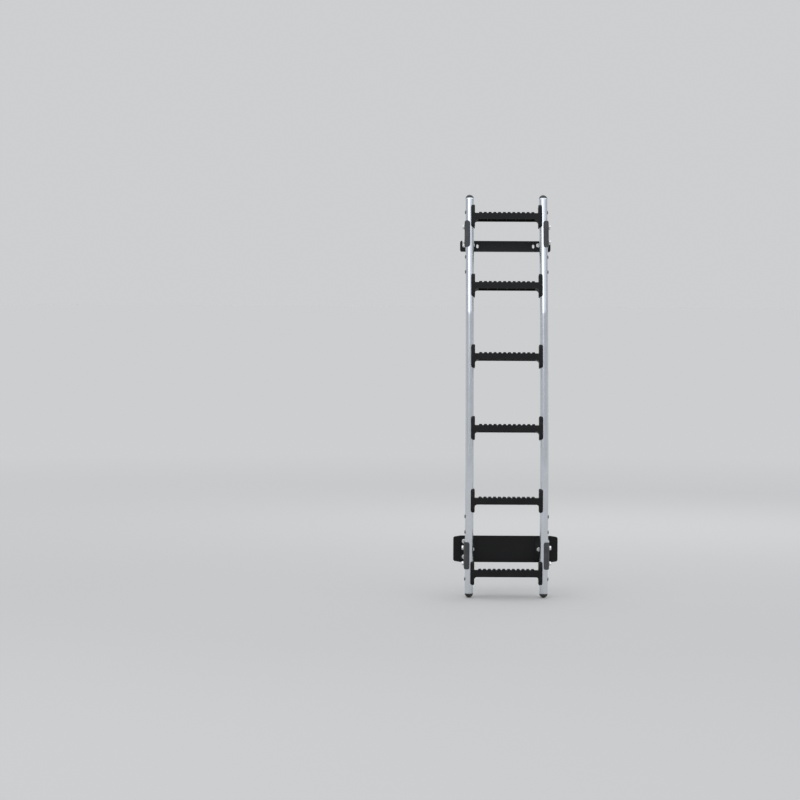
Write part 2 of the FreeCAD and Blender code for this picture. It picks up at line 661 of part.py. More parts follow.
def make_lower_plate():
    """A plate with tapered, rounded ends, tapped for the foot bolts and drilled for the door bolts."""
    body = new_body("lower_plate")
    face = new_sketch(body, "lower_plate_face", "XZ_Plane")
    half_width, half_height = "plate_width / 2", "plate_height / 2"
    start, end_height = f"({half_width} - plate_taper)", f"({half_height} - plate_drop)"
    quarter = [(start, half_height), (half_width, end_height)]
    right_side = [(x, f"0 - {y}") for x, y in quarter] + quarter[::-1]
    left_side = [(f"0 - {x}", y) for x, y in right_side[::-1]]
    add_outline(face, right_side + left_side)
    doc.recompute()
    pad(body, "lower_plate_slab", face, "plate_thick")
    round_edges(body, "lower_plate_corners", "plate_corner",
                lambda mid, run: abs(run.y) > 1 and near(abs(mid.x), half_width))
    drill = new_sketch(body, "lower_plate_holes", "XZ_Plane")
    for side in SIDES.values():
        for across, up in [INNER_BOLT, *OUTER_BOLTS["low"]]:
            radius = "plain_radius" if (across, up) == INNER_BOLT else "tapped_radius"
            add_circle(drill, f"{side} * (half_spacing + {across})", up, radius)
    doc.recompute()
    pocket(body, "lower_plate_drilling", drill)
    return body


def make_upper_crossbar():
    """A flat bar with rounded corners, tapped for the foot bolts, with two upright slots."""
    body = new_body("upper_crossbar")
    face = new_sketch(body, "upper_crossbar_face", "XZ_Plane")
    half_width, half_height = "bar_width / 2", "bar_height / 2"
    add_outline(face, square_box(half_width, half_height))
    doc.recompute()
    pad(body, "upper_crossbar_slab", face, "bar_thick")
    round_edges(body, "upper_crossbar_corners", "bar_corner",
                lambda mid, run: abs(run.y) > 1 and near(abs(mid.x), half_width))
    drill = new_sketch(body, "upper_crossbar_holes", "XZ_Plane")
    slot_half, slot_straight = "slot_width / 2", "(slot_length - slot_width) / 2"
    for side in SIDES.values():
        for across, up in [INNER_BOLT, *OUTER_BOLTS["top"]]:
            add_circle(drill, f"{side} * (half_spacing + {across})", up, "tapped_radius")
        middle = f"{side} * slot_spacing / 2"
        add_outline(drill, [
            (f"{middle} + {slot_half}", f"0 - {slot_straight}", slot_half, 1),
            (f"{middle} + {slot_half}", slot_straight),
            (middle, "slot_length / 2", slot_half, 1),
            (f"{middle} - {slot_half}", slot_straight, slot_half, 1),
            (f"{middle} - {slot_half}", f"0 - {slot_straight}"),
            (middle, "0 - slot_length / 2", slot_half, 1),
        ])
    doc.recompute()
    pocket(body, "upper_crossbar_drilling", drill)
    seat(body, TOP_CLAMP.shifted(back="top_reach + bar_thick", up="0 - top_foot_shift"))
    return body


# Fasteners, caps and plugs: each is modelled once, with its outer end towards +Z

def make_bolt(name, length, neck=None):
    """A hexagon bolt, its bearing face at Z = 0; below it a reduced neck, if it has one, then its thread."""
    body = new_body(name)
    head = new_sketch(body, f"{name}_hexagon", "XY_Plane")
    corner = "bolt_flats / sqrt(3)"
    add_outline(head, [(f"{corner} * cos({60 * k})", f"{corner} * sin({60 * k})") for k in range(6)])
    doc.recompute()
    pad(body, f"{name}_head", head, "bolt_head")
    if neck:
        waist = new_sketch(body, f"{name}_neck_circle", "XY_Plane")
        add_circle(waist, "0", "0", "door_bolt_neck / 2")
        doc.recompute()
        pad(body, f"{name}_neck", waist, neck, reversed_way=True)
    shank = new_sketch(body, f"{name}_circle", "XY_Plane", f"0 - ({neck or 0})")
    add_circle(shank, "0", "0", "thread_radius")
    doc.recompute()
    pad(body, f"{name}_thread", shank, length, reversed_way=True)
    return body


def make_washer():
    """A plain washer standing on Z = 0."""
    body = new_body("washer")
    ring = new_sketch(body, "washer_ring", "XY_Plane")
    add_circle(ring, "0", "0", "washer_dia / 2")
    add_circle(ring, "0", "0", "plain_radius")
    doc.recompute()
    pad(body, "washer_disc", ring, "washer_thick")
    return body


def make_insert_nut():
    """A blind-side insert nut, turned, with Z = 0 at the tube's centreline."""
    body = new_body("insert_nut")
    profile = new_sketch(body, "insert_nut_profile", "XZ_Plane")
    low = "insert_top - insert_length"
    add_outline(profile, [
        ("tapped_radius", low),
        ("insert_radius", low),
        ("insert_radius", "bulge_top - insert_bulge"),
        ("insert_bulge_dia / 2", "bulge_top - insert_bulge"),
        ("insert_bulge_dia / 2", "bulge_top"),
        ("insert_radius", "bulge_top"),
        ("insert_radius", "insert_top"),
        ("tapped_radius", "insert_top"),
    ])
    doc.recompute()
    revolve(body, "insert_nut_turned", profile)
    return body


def make_hole_plug():
    """A domed plug whose head fits the round of the tube, with Z = 0 at the tube's centreline."""
    body = new_body("hole_plug")
    dome = new_sketch(body, "hole_plug_dome", "XZ_Plane")
    rim, crown, drop = "plug_dia / 2", "tube_radius + plug_rise", "(plug_rise - plug_rim)"
    add_outline(dome, [
        ("0", "tube_bore"),
        (rim, "tube_bore"),
        (rim, "tube_radius + plug_rim"),
        ("0", crown, f"(({rim}) ^ 2 + {drop} ^ 2) / (2 * {drop})", 1),
    ])
    doc.recompute()
    revolve(body, "hole_plug_head", dome)
    tube = new_sketch(body, "hole_plug_tube", "YZ_Plane")
    add_circle(tube, "0", "0", "tube_radius + fit_gap")
    doc.recompute()
    pocket(body, "hole_plug_seat", tube)
    spigot = new_sketch(body, "hole_plug_circle", "XY_Plane", "tube_radius - plug_depth")
    add_circle(spigot, "0", "0", "insert_radius")
    doc.recompute()
    pad(body, "hole_plug_spigot", spigot, "plug_depth + plug_rim")
    return body


def make_end_cap():
    """A domed cap with a hollow spigot, turned; Z = 0 is the end of the tube."""
    body = new_body("end_cap")
    profile = new_sketch(body, "end_cap_profile", "XZ_Plane")
    outer = "(tube_bore - fit_gap)"
    inner = f"({outer} - cap_shell)"
    bulge = "(cap_dome - cap_rim)"
    add_outline(profile, [
        ("0", "0 - cap_shell"),
        (inner, "0 - cap_shell"),
        (inner, "0 - cap_spigot"),
        (f"{outer} - cap_shell / 2", "0 - cap_spigot"),
        (outer, "cap_lead - cap_spigot"),
        (outer, "0"),
        ("tube_radius", "0"),
        ("tube_radius", "cap_rim"),
        ("0", "cap_dome", f"(tube_radius ^ 2 + {bulge} ^ 2) / (2 * {bulge})", 1),
    ])
    doc.recompute()
    revolve(body, "end_cap_turned", profile)
    return body


def make_rung_screw():
    """A flat-headed screw, the top of its head at Z = 0."""
    body = new_body("rung_screw")
    profile = new_sketch(body, "rung_screw_profile", "XZ_Plane")
    add_outline(profile, [
        ("0", "0"),
        ("0", "0 - screw_length"),
        ("screw_dia / 2", "0 - screw_length"),
        ("screw_dia / 2", "0 - screw_head"),
        ("screw_head_dia / 2 - thread_gap", "0 - screw_head"),
        ("screw_head_dia / 2 - thread_gap", "0"),
    ])
    doc.recompute()
    revolve(body, "rung_screw_turned", profile)
    return body


nodes = []
for word, side in SIDES.items():
    nodes.append(make_stile(f"stile_{word}", side))
for number, station in enumerate(RUNG_STATIONS, start=1):
    nodes.append(make_rung(f"rung_{number}", station))
for word, side in SIDES.items():
    nodes.append(make_bracket(f"lower_bracket_{word}", side, LOW_CLAMP, "low"))
    nodes.append(make_bracket(f"upper_bracket_{word}", side, TOP_CLAMP, "top"))
nodes.append(make_lower_plate())
nodes.append(make_upper_crossbar())

end_cap = make_end_cap()
for place, station, turn in (("bottom", LOW_START, DOWNWARDS), ("top", TOP_END, UPWARDS)):
    cap_seats = [(station, f"{side} * half_spacing", turn) for side in SIDES.values()]
    nodes.append(group(f"{place}_caps", end_cap, cap_seats))

clamp_bolt = make_bolt("clamp_bolt", "clamp_bolt_length")
foot_bolt = make_bolt("foot_bolt", "foot_thick + plate_thick - bolt_short")
door_bolt = make_bolt("door_bolt", "door_bolt_reach", neck="foot_thick + plate_thick")
washer = make_washer()
insert_nut = make_insert_nut()
hole_plug = make_hole_plug()
rung_screw = make_rung_screw()


def clamp_seats(height):
    """Seats on the outer sides of the tubes, a height from their centreline, at the clamped holes."""
    return [(row[k], f"{side} * (half_spacing + {height})", OUTWARDS[side])
            for side in SIDES.values() for row in (LOW_HOLES, TOP_HOLES) for k in CLAMPED_HOLES]


def foot_seats(place, spots, lift="0"):
    """Seats on the front of the feet, lifted off them by a formula, at spots from the feet's centres."""
    station = LOW_CLAMP if place == "low" else TOP_CLAMP
    shift = "low_foot_shift" if place == "low" else "0 - top_foot_shift"
    back = f"{place}_reach - foot_thick - {lift}"
    return [(station.shifted(back=back, up=f"{shift} + {bolt[1]}"),
             f"{side} * (half_spacing + {bolt[0]})", FORWARDS)
            for side in SIDES.values() for bolt in spots]


def plug_seats(row):
    """Seats at the holes of a row that no clamp bolt uses."""
    return [(row[k], f"{side} * half_spacing", OUTWARDS[side])
            for side in SIDES.values() for k in range(HOLES_IN_ROW) if k not in CLAMPED_HOLES]


def screw_seats():
    """Seats inside the rungs' saddles, heads flush."""
    return [(station.shifted(up=rise), f"{side} * saddle_in", OUTWARDS[-side])
            for station in RUNG_STATIONS for side in SIDES.values()
            for rise in ("screw_rise", "0 - screw_rise")]


nodes.append(group("clamp_bolts", clamp_bolt, clamp_seats("clamp_face + washer_thick")))
nodes.append(group("clamp_washers", washer, clamp_seats("clamp_face")))
nodes.append(group("clamp_insert_nuts", insert_nut, clamp_seats("0")))
low_outer, top_outer = OUTER_BOLTS["low"], OUTER_BOLTS["top"]
bar_seats = foot_seats("top", top_outer, "washer_thick") + foot_seats("top", [INNER_BOLT])
nodes.append(group("lower_foot_bolts", foot_bolt, foot_seats("low", low_outer, "washer_thick")))
nodes.append(group("upper_foot_bolts", foot_bolt, bar_seats))
nodes.append(group("door_bolts", door_bolt, foot_seats("low", [INNER_BOLT])))
nodes.append(group("lower_foot_washers", washer, foot_seats("low", low_outer)))
nodes.append(group("upper_foot_washers", washer, foot_seats("top", top_outer)))
nodes.append(group("lower_hole_plugs", hole_plug, plug_seats(LOW_HOLES)))
nodes.append(group("upper_hole_plugs", hole_plug, plug_seats(TOP_HOLES)))
nodes.append(group("rung_screws", rung_screw, screw_seats()))

doc.recompute()
for thing in doc.Objects:
    if "Invalid" in thing.State or "Error" in thing.State:
        raise ValueError(f"{thing.Label} failed: {thing.State}")
for node in nodes:
    if node.Shape.isNull() or not node.Shape.isValid():
        raise ValueError(f"{node.Label} has no valid shape")
for node in nodes:
    node.Shape.exportStep(f"parts/{node.Label}.step")
    print(f"{node.Label}: {len(node.Shape.Solids)} solids, {node.Shape.Volume / 1000:.1f} cm3")
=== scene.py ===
# %% [markdown]
# # A rear door ladder
# The construction comes in as fixed CAD nodes. This lesson gives each of them its real surface:
# drawn tube, grained mouldings, powder coat and zinc, and then lights and photographs the whole.

import bmesh
import bpy
import numpy as np
from mathutils import Matrix, Vector


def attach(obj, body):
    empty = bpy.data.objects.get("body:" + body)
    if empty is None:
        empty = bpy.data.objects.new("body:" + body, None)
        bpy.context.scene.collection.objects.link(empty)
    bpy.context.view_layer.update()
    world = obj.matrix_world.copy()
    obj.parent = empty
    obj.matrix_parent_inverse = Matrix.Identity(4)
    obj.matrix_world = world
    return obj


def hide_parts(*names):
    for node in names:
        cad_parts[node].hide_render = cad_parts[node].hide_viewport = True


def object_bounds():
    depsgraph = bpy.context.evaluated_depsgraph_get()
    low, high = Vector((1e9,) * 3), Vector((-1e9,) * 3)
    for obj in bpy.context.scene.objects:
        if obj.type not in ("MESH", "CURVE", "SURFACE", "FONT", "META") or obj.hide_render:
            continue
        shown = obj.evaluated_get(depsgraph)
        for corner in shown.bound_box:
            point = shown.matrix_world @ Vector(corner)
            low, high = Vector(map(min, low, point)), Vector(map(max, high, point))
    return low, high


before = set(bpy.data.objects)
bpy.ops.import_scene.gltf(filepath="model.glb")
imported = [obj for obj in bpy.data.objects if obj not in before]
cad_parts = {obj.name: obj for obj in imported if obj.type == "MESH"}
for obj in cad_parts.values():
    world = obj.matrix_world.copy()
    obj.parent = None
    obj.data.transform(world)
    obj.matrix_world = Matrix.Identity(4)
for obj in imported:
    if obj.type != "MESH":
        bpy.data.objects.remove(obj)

cad_box = [list(corner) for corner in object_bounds()]
print("CAD nodes:", len(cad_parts), "box:", np.round(cad_box, 4).tolist())

# %% [markdown]
# ## The sizes that the new pieces share
# All lengths are in metres. The ladder hangs on one line, the centreline of a stile: upright, a long
# gentle bend, a leaning run, a short bend and a steeper run. Everything is placed by its distance
# along that line, so the line comes first.

# %% The line of a stile
TUBE_RADIUS = 0.014
TUBE_WALL = 0.002
HALF_SPACING = 0.124
RUNG_PITCH = 0.241
FOOT_PAST_RUNG, HEAD_PAST_RUNG = 0.0685, 0.0635
LINE_LENGTH = FOOT_PAST_RUNG + 5 * RUNG_PITCH + HEAD_PAST_RUNG
LEAN_MID, LEAN_TOP = np.radians(9.5), np.radians(15)
LOW_BEND_RADIUS, HIGH_BEND_RADIUS = 0.450, 0.120
LOW_BEND_START = FOOT_PAST_RUNG + RUNG_PITCH + 0.070
LOW_BEND_END = LOW_BEND_START + LOW_BEND_RADIUS * LEAN_MID
HIGH_BEND_START = FOOT_PAST_RUNG + 3 * RUNG_PITCH + 0.139
HIGH_BEND_END = HIGH_BEND_START + HIGH_BEND_RADIUS * (LEAN_TOP - LEAN_MID)
PLATE_THICK, LOW_REACH, LOW_FOOT_SHIFT = 0.008, 0.084, 0.014
END_HOLE, HOLE_PITCH = 0.0485, 0.052
LOW_CLAMP = END_HOLE + 1.5 * HOLE_PITCH
FOOT_Y, FOOT_Z = -(PLATE_THICK + LOW_REACH), -(LOW_CLAMP + LOW_FOOT_SHIFT)

distances = np.linspace(0, LINE_LENGTH, 5361)
leans = np.interp(distances, [LOW_BEND_START, LOW_BEND_END, HIGH_BEND_START, HIGH_BEND_END],
                  [0, LEAN_MID, LEAN_MID, LEAN_TOP])


def running_sum(values):
    """The area under the values along the line, by the mean of each pair of neighbours."""
    steps = np.diff(distances) * (values[1:] + values[:-1]) / 2
    return np.concatenate([[0], np.cumsum(steps)])


line_y = FOOT_Y + running_sum(np.sin(leans))
line_z = FOOT_Z + running_sum(np.cos(leans))


def along(distance):
    """Y, Z and lean of the centreline at a distance from its foot.

    The lean grows evenly through each bend, and the place is the running sum of the direction.
    """
    return tuple(np.interp(distance, distances, values) for values in (line_y, line_z, leans))


print("top of the stiles:", np.round(along(LINE_LENGTH)[:2], 4))

# %% [markdown]
# ## From arrays to meshes
# A surface here is a grid of points: rows along it and columns round it. One helper joins the grid
# with quads, another makes the mesh object, closes its poles and turns its faces outwards.

# %% Grids and meshes
def grid_faces(rows, columns, ring=False):
    """Quads between the neighbours of a grid whose columns go all the way round.

    Point (row, column) is number row * columns + column. With ring, the last row joins the first.
    """
    row = np.arange(rows if ring else rows - 1)[:, None]
    column = np.arange(columns)[None, :]
    beside, above = (column + 1) % columns, (row + 1) % rows
    corners = [row * columns + column, row * columns + beside, above * columns + beside,
               above * columns + column]
    return np.stack(np.broadcast_arrays(*corners), axis=-1).reshape(-1, 4)


def new_piece(name, points, faces, slot, nodes, fields=()):
    """A mesh that stands for CAD nodes; fields are named arrays with a number or vector for each point."""
    mesh = bpy.data.meshes.new(name)
    mesh.from_pydata(np.reshape(points, (-1, 3)), [], faces)
    for title, values in fields:
        kind, key = ("FLOAT", "value") if np.ndim(values) == 1 else ("FLOAT_VECTOR", "vector")
        layer = mesh.attributes.new(title, kind, "POINT")
        layer.data.foreach_set(key, np.ravel(values).astype(np.float32))
    work = bmesh.new()
    work.from_mesh(mesh)
    bmesh.ops.remove_doubles(work, verts=work.verts, dist=1e-6)
    bmesh.ops.recalc_face_normals(work, faces=work.faces)
    work.to_mesh(mesh)
    work.free()
    mesh.shade_smooth()
    piece = bpy.data.objects.new(name, mesh)
    bpy.context.scene.collection.objects.link(piece)
    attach(piece, "root")
    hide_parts(*nodes)
    print(f"{name}: {len(mesh.vertices)} points, {len(mesh.polygons)} faces")
    return piece


# %% [markdown]
# ## The stiles
# The real stile is a drawn aluminium tube, bent cold twice. A curve with a round bevel would do, but
# a grid can also carry the place that each point had on the straight tube. The metal's fine die lines
# follow that attribute round both bends, as they do on the real thing.

# %% Bent tubes
def bent_tube(across, columns=72, step=0.004):
    """A tube with a wall, its centreline the ladder's line, at X = across.

    A point at distance d and angle a is centre(d) + r (cos a, sin a cos lean, -sin a sin lean). Rows
    run up the outside at the outer radius, over an eased rim and down the bore.
    """
    ease = 0.0004
    rise = np.concatenate([[0, ease], np.arange(step, LINE_LENGTH - step, step),
                           [LINE_LENGTH - ease, LINE_LENGTH]])[:, None]
    inset = np.where((rise == 0) | (rise == LINE_LENGTH), ease, 0)
    distance = np.concatenate([rise, rise[::-1]])
    radius = np.concatenate([TUBE_RADIUS - inset, (TUBE_RADIUS - TUBE_WALL + inset)[::-1]])
    angle = np.arange(columns)[None, :] * 2 * np.pi / columns
    y, z, lean = along(distance)
    back = radius * np.sin(angle)
    points = np.stack([across + radius * np.cos(angle), y + back * np.cos(lean),
                       z - back * np.sin(lean)], axis=-1)
    straight = np.stack(np.broadcast_arrays(radius * np.cos(angle), back, distance), axis=-1)
    return points, straight


SIDES = {"left": -1, "right": 1}
stiles = []
for word, side in SIDES.items():
    points, straight = bent_tube(side * HALF_SPACING)
    faces = grid_faces(*points.shape[:2], ring=True)
    stiles.append(new_piece(f"stile_tube_{word}", points, faces, "stile_aluminium", [f"stile_{word}"],
                            [("straight_tube", straight.reshape(-1, 3))]))

# %% [markdown]
# ## Turned pieces and where they sit
# Caps, plugs, washers and bolts are all made on a lathe or a header, so one function turns a profile
# about its own Z. Its radius and height may change with the angle: that makes a hexagon head or a
# plug whose rim follows the round of the tube. A seat says where a piece goes and which way it faces.

# %% Profiles, turning and seats
def rounded(outline, cut, steps=5):
    """The outline with its inner corners eased.

    A corner C gives way to (1 - t)^2 A + 2 t (1 - t) C + t^2 B, where A and B lie on the runs before
    and after it, cut away from C but never past the middle of a run.
    """
    outline = np.asarray(outline, float)
    corner = outline[1:-1]

    def towards(neighbour):
        run = neighbour - corner
        length = np.linalg.norm(run, axis=-1, keepdims=True)
        return corner + run * np.minimum(cut / np.maximum(length, 1e-9), 0.5)

    start, end = towards(outline[:-2])[:, None], towards(outline[2:])[:, None]
    t = np.linspace(0, 1, steps).reshape((1, -1) + (1,) * (outline.ndim - 1))
    curve = (1 - t) ** 2 * start + 2 * t * (1 - t) * corner[:, None] + t ** 2 * end
    return np.concatenate([outline[:1], curve.reshape((-1,) + outline.shape[1:]), outline[-1:]])


def around(columns):
    """The angles of the columns of a turned grid."""
    return np.arange(columns) * 2 * np.pi / columns


def turned(profile, columns=64):
    """A profile of (radius, height) turned about Z; with a third axis it differs from column to column.

    A point is (radius cos a, radius sin a, height).
    """
    if profile.ndim == 2:
        profile = np.repeat(profile[:, None], columns, axis=1)
    angle = around(profile.shape[1])
    radius, height = profile[..., 0], profile[..., 1]
    return np.stack([radius * np.cos(angle), radius * np.sin(angle), height], axis=-1)


FACING = {
    "up": [[1, 0, 0], [0, 1, 0], [0, 0, 1]],
    "down": [[1, 0, 0], [0, -1, 0], [0, 0, -1]],
    "front": [[1, 0, 0], [0, 0, 1], [0, -1, 0]],
    "right": [[0, 0, -1], [0, 1, 0], [1, 0, 0]],
    "left": [[0, 0, 1], [0, 1, 0], [-1, 0, 0]],
}


def seat(distance, across=0.0, back=0.0, up=0.0, facing="up"):
    """The place and the turn of a piece beside the line: row k of the turn is where its own axis k points."""
    y, z, lean = along(distance)
    run = np.array([[1, 0, 0], [0, np.cos(lean), -np.sin(lean)], [0, np.sin(lean), np.cos(lean)]])
    return np.array([0, y, z]) + np.array([across, back, up]) @ run, FACING[facing] @ run


def repeated(points, faces, seats):
    """Copies of a shape, one at each seat: p becomes p @ turn + place."""
    places = np.array([place for place, turn in seats])
    turns = np.array([turn for place, turn in seats])
    flat = points.reshape(-1, 3)
    copies = flat @ turns + places[:, None]
    shifts = np.arange(len(seats))[:, None, None] * len(flat)
    return copies.reshape(-1, 3), (faces[None] + shifts).reshape(-1, 4)


def turned_pieces(name, profile, seats, slot, nodes, ring=False, columns=64):
    """One object of turned copies."""
    points = turned(profile, columns)
    faces = grid_faces(*points.shape[:2], ring=ring)
    return new_piece(name, *repeated(points, faces, seats), slot, nodes)


# %% [markdown]
# ## End caps
# Each tube end has a moulded cap: a hollow spigot pushed into the bore and a domed head. The dome is
# an arc of a circle, so its height at radius r is the height of the centre plus sqrt(R^2 - r^2).

# %% Domed end caps
BORE_FIT = TUBE_RADIUS - TUBE_WALL - 0.0001
CAP_RIM, CAP_DOME = 0.001, 0.013
bulge = CAP_DOME - CAP_RIM
dome_radius = (TUBE_RADIUS ** 2 + bulge ** 2) / (2 * bulge)
reach = np.sin(np.linspace(1, 0, 25) * np.pi / 2) * TUBE_RADIUS
dome = np.stack([reach, CAP_DOME - dome_radius + np.sqrt(dome_radius ** 2 - reach ** 2)], axis=-1)
spigot = [(0, -0.0025), (BORE_FIT - 0.0025, -0.0025), (BORE_FIT - 0.0025, -0.022),
          (BORE_FIT - 0.00125, -0.022), (BORE_FIT, -0.019), (BORE_FIT, 0.0001), (TUBE_RADIUS, 0.0001)]
cap_profile = rounded(np.concatenate([spigot, dome]), 0.0004)
caps = [turned_pieces(f"{place}_cap_domes", cap_profile,
                      [seat(distance, side * HALF_SPACING, facing=facing) for side in SIDES.values()],
                      "cap_plastic", [f"{place}_caps"])
        for place, distance, facing in (("bottom", 0, "down"), ("top", LINE_LENGTH, "up"))]

# %% [markdown]
# ## Hole plugs
# The tube has a row of holes near each end. The ones without a clamp bolt are closed with soft domed
# plugs. Under its dome a plug is cut to the round of the tube: its height there is
# sqrt(R^2 - (r sin a)^2), which is the tube's own surface.

# %% Plugs in the spare holes
PLUG_HEAD, PLUG_RISE, PLUG_RIM, PLUG_STEM = 0.0065, 0.0025, 0.0006, 0.0054
HOLE_ROW = END_HOLE + HOLE_PITCH * np.arange(5)
CLAMPED, SPARE = HOLE_ROW[[1, 2]], HOLE_ROW[[0, 3, 4]]


def plug_profile(columns=48):
    """Radius and height from the stem's end, under the head, round its rim and over its dome."""
    across_tube = np.sin(around(columns))

    def on_tube(radius):
        return np.sqrt((TUBE_RADIUS + 0.0001) ** 2 - (radius * across_tube) ** 2)

    level = np.ones(columns)
    rise = PLUG_RISE - PLUG_RIM
    crown_radius = (PLUG_HEAD ** 2 + rise ** 2) / (2 * rise)
    steps = np.cos(np.linspace(0, 1, 10)[1:] * np.pi / 2) * PLUG_HEAD
    crown = TUBE_RADIUS + PLUG_RISE - crown_radius + np.sqrt(crown_radius ** 2 - steps ** 2)
    radii = [0, PLUG_STEM, PLUG_STEM, PLUG_HEAD, PLUG_HEAD, *steps]
    heights = [0.007 * level, 0.007 * level, on_tube(PLUG_STEM), on_tube(PLUG_HEAD),
               (TUBE_RADIUS + PLUG_RIM) * level, *(value * level for value in crown)]
    profile = np.stack([np.array(radii)[:, None] * level, np.array(heights)], axis=-1)
    return rounded(profile, 0.0004)


def row_seats(row, from_top, height=0.0):
    """Seats on the outer sides of both stiles, at the distances of a row from one end."""
    places = LINE_LENGTH - row if from_top else row
    return [seat(distance, side * (HALF_SPACING + height), facing={-1: "left", 1: "right"}[side])
            for side in SIDES.values() for distance in places]


plugs = [turned_pieces(f"{place}_plugs", plug_profile(), row_seats(SPARE, place == "upper"),
                       "plug_plastic", [f"{place}_hole_plugs"]) for place in ("lower", "upper")]

# %% [markdown]
# ## Bolts and washers
# A forged hexagon head is a hexagon cut by two cones. Going round it, the distance to a flat is
# half / cos(angle to the middle of the flat), and the top corner drops by that distance past the
# chamfer circle, times the tangent of 30 degrees. The thread that enters the door shows from behind,
# so it is real geometry too: the radius falls and rises as height / pitch - angle / full turn does.

# %% Hexagon bolts
BOLT_RADIUS, BOLT_FLATS, BOLT_HEAD, THREAD_PITCH = 0.004, 0.013, 0.0053, 0.00125
TIP_CUT, THREAD_DEPTH = 0.0009, 0.00062
WASHER_RADIUS, WASHER_THICK = 0.008, 0.0016


def head_profile(angle):
    """Radius and height over a bolt's head, from its bearing face to the middle of its top."""
    level = np.ones(len(angle))
    half = BOLT_FLATS / 2
    face, chamfer = 0.96 * half, 0.94 * half
    to_flat = (angle + np.pi / 6) % (np.pi / 3) - np.pi / 6
    hexagon = np.minimum(half / np.cos(to_flat), 1.125 * half)
    shoulder = BOLT_HEAD - (hexagon - chamfer) * np.tan(np.radians(30))
    pairs = [(BOLT_RADIUS * level, 0 * level), (face * level, 0 * level), (face * level, 0.0004 * level),
             (hexagon, 0.0004 + (hexagon - face) * 0.5), (hexagon, shoulder),
             (chamfer * level, BOLT_HEAD * level), (0 * level, BOLT_HEAD * level)]
    return rounded(np.stack([np.stack(pair, axis=-1) for pair in pairs]), 0.00025)


def bolt_profile(length, threaded=0.0, neck=BOLT_RADIUS, columns=96):
    """Radius and height of a bolt from its tip, at minus its length, to the middle of its top.

    A thread, if it has one, fills the last stretch. Between that and the head the radius is the neck's.
    """
    angle = around(columns)
    stretch = threaded or TIP_CUT
    rows = int(threaded / THREAD_PITCH * 10) + 2
    heights = np.linspace(-length, stretch - length, rows)[:, None]
    phase = (heights / THREAD_PITCH - angle / (2 * np.pi)) % 1
    groove = THREAD_DEPTH * (1 - np.abs(2 * phase - 1)) if threaded else 0
    cut_back = TIP_CUT * (1 - np.clip((heights + length) / TIP_CUT, 0, 1))
    shank = np.stack(np.broadcast_arrays(BOLT_RADIUS - cut_back - groove, heights + 0 * angle), axis=-1)
    ends = np.array([[(0, -length)], [(neck, stretch - length)], [(neck, 0)]]) * np.ones((1, columns, 1))
    return np.concatenate([ends[:1], shank, ends[1:], head_profile(angle)])


def turned_bolts(name, seats, node, length, **shank):
    """One object of hexagon bolts."""
    return turned_pieces(name, bolt_profile(length, **shank), seats, "zinc_bolt", [node])


FOOT_THICK, BAR_THICK = 0.006, 0.008
LOW_FOOT = (LOW_CLAMP, LOW_REACH, LOW_FOOT_SHIFT)
TOP_FOOT = (LINE_LENGTH - LOW_CLAMP, 0.112, -0.0075)
LOW_OUTER, TOP_OUTER, INNER = [(0.0145, 0.026), (0.0145, -0.026)], [(0.0145, 0)], [(-0.0125, 0)]


def foot_seats(foot, spots, lift=0.0):
    """Seats on the front of both feet, lifted off them, at spots outwards and upwards from their centres."""
    distance, reach_back, shift = foot
    return [seat(distance, side * (HALF_SPACING + out), reach_back - FOOT_THICK - lift, shift + rise, "front")
            for side in SIDES.values() for out, rise in spots]


def clamp_seats(lift=0.0):
    """Seats on the outer faces of all four clamps."""
    height = TUBE_RADIUS + 0.0002 + 0.0033 + lift
    return row_seats(CLAMPED, False, height) + row_seats(CLAMPED, True, height)


grip, door_reach = FOOT_THICK + PLATE_THICK, 0.022
top_seats = foot_seats(TOP_FOOT, TOP_OUTER, WASHER_THICK) + foot_seats(TOP_FOOT, INNER)
bolts = [
    turned_bolts("clamp_hex_bolts", clamp_seats(WASHER_THICK), "clamp_bolts", 0.020),
    turned_bolts("lower_foot_hex_bolts", foot_seats(LOW_FOOT, LOW_OUTER, WASHER_THICK), "lower_foot_bolts",
                 grip - 0.0005),
    turned_bolts("upper_foot_hex_bolts", top_seats, "upper_foot_bolts", grip - 0.0005),
    turned_bolts("door_hex_bolts", foot_seats(LOW_FOOT, INNER), "door_bolts", grip + door_reach,
                 threaded=door_reach, neck=0.0036),
]

# %% Washers
bore, thick = BOLT_RADIUS + 0.0005, WASHER_THICK
middle = (bore + WASHER_RADIUS) / 2
washer_profile = rounded([(middle, 0), (WASHER_RADIUS, 0), (WASHER_RADIUS, thick), (bore, thick), (bore, 0),
                          (middle, 0)], 0.00025)[:-1]
washers = [turned_pieces(f"{place}_discs", washer_profile, seats, "zinc_washer", [place], ring=True)
           for place, seats in (("clamp_washers", clamp_seats()),
                                ("lower_foot_washers", foot_seats(LOW_FOOT, LOW_OUTER)),
                                ("upper_foot_washers", foot_seats(TOP_FOOT, TOP_OUTER)))]

# %% [markdown]
# ## Rung screws
# Two flat-headed screws, sunk flush, hold each saddle to its tube. A head has a cross recess: the top
# sinks where a point is close to either arm of the cross, by an even slope from the arm's edge.

# %% Flat-headed screws
SADDLE_IN = HALF_SPACING - TUBE_RADIUS - 0.0002 - 0.0031
SCREW_RADIUS, SCREW_HEAD, SCREW_THICK, SCREW_LENGTH, SCREW_RISE = 0.002, 0.0037, 0.0018, 0.012, 0.026


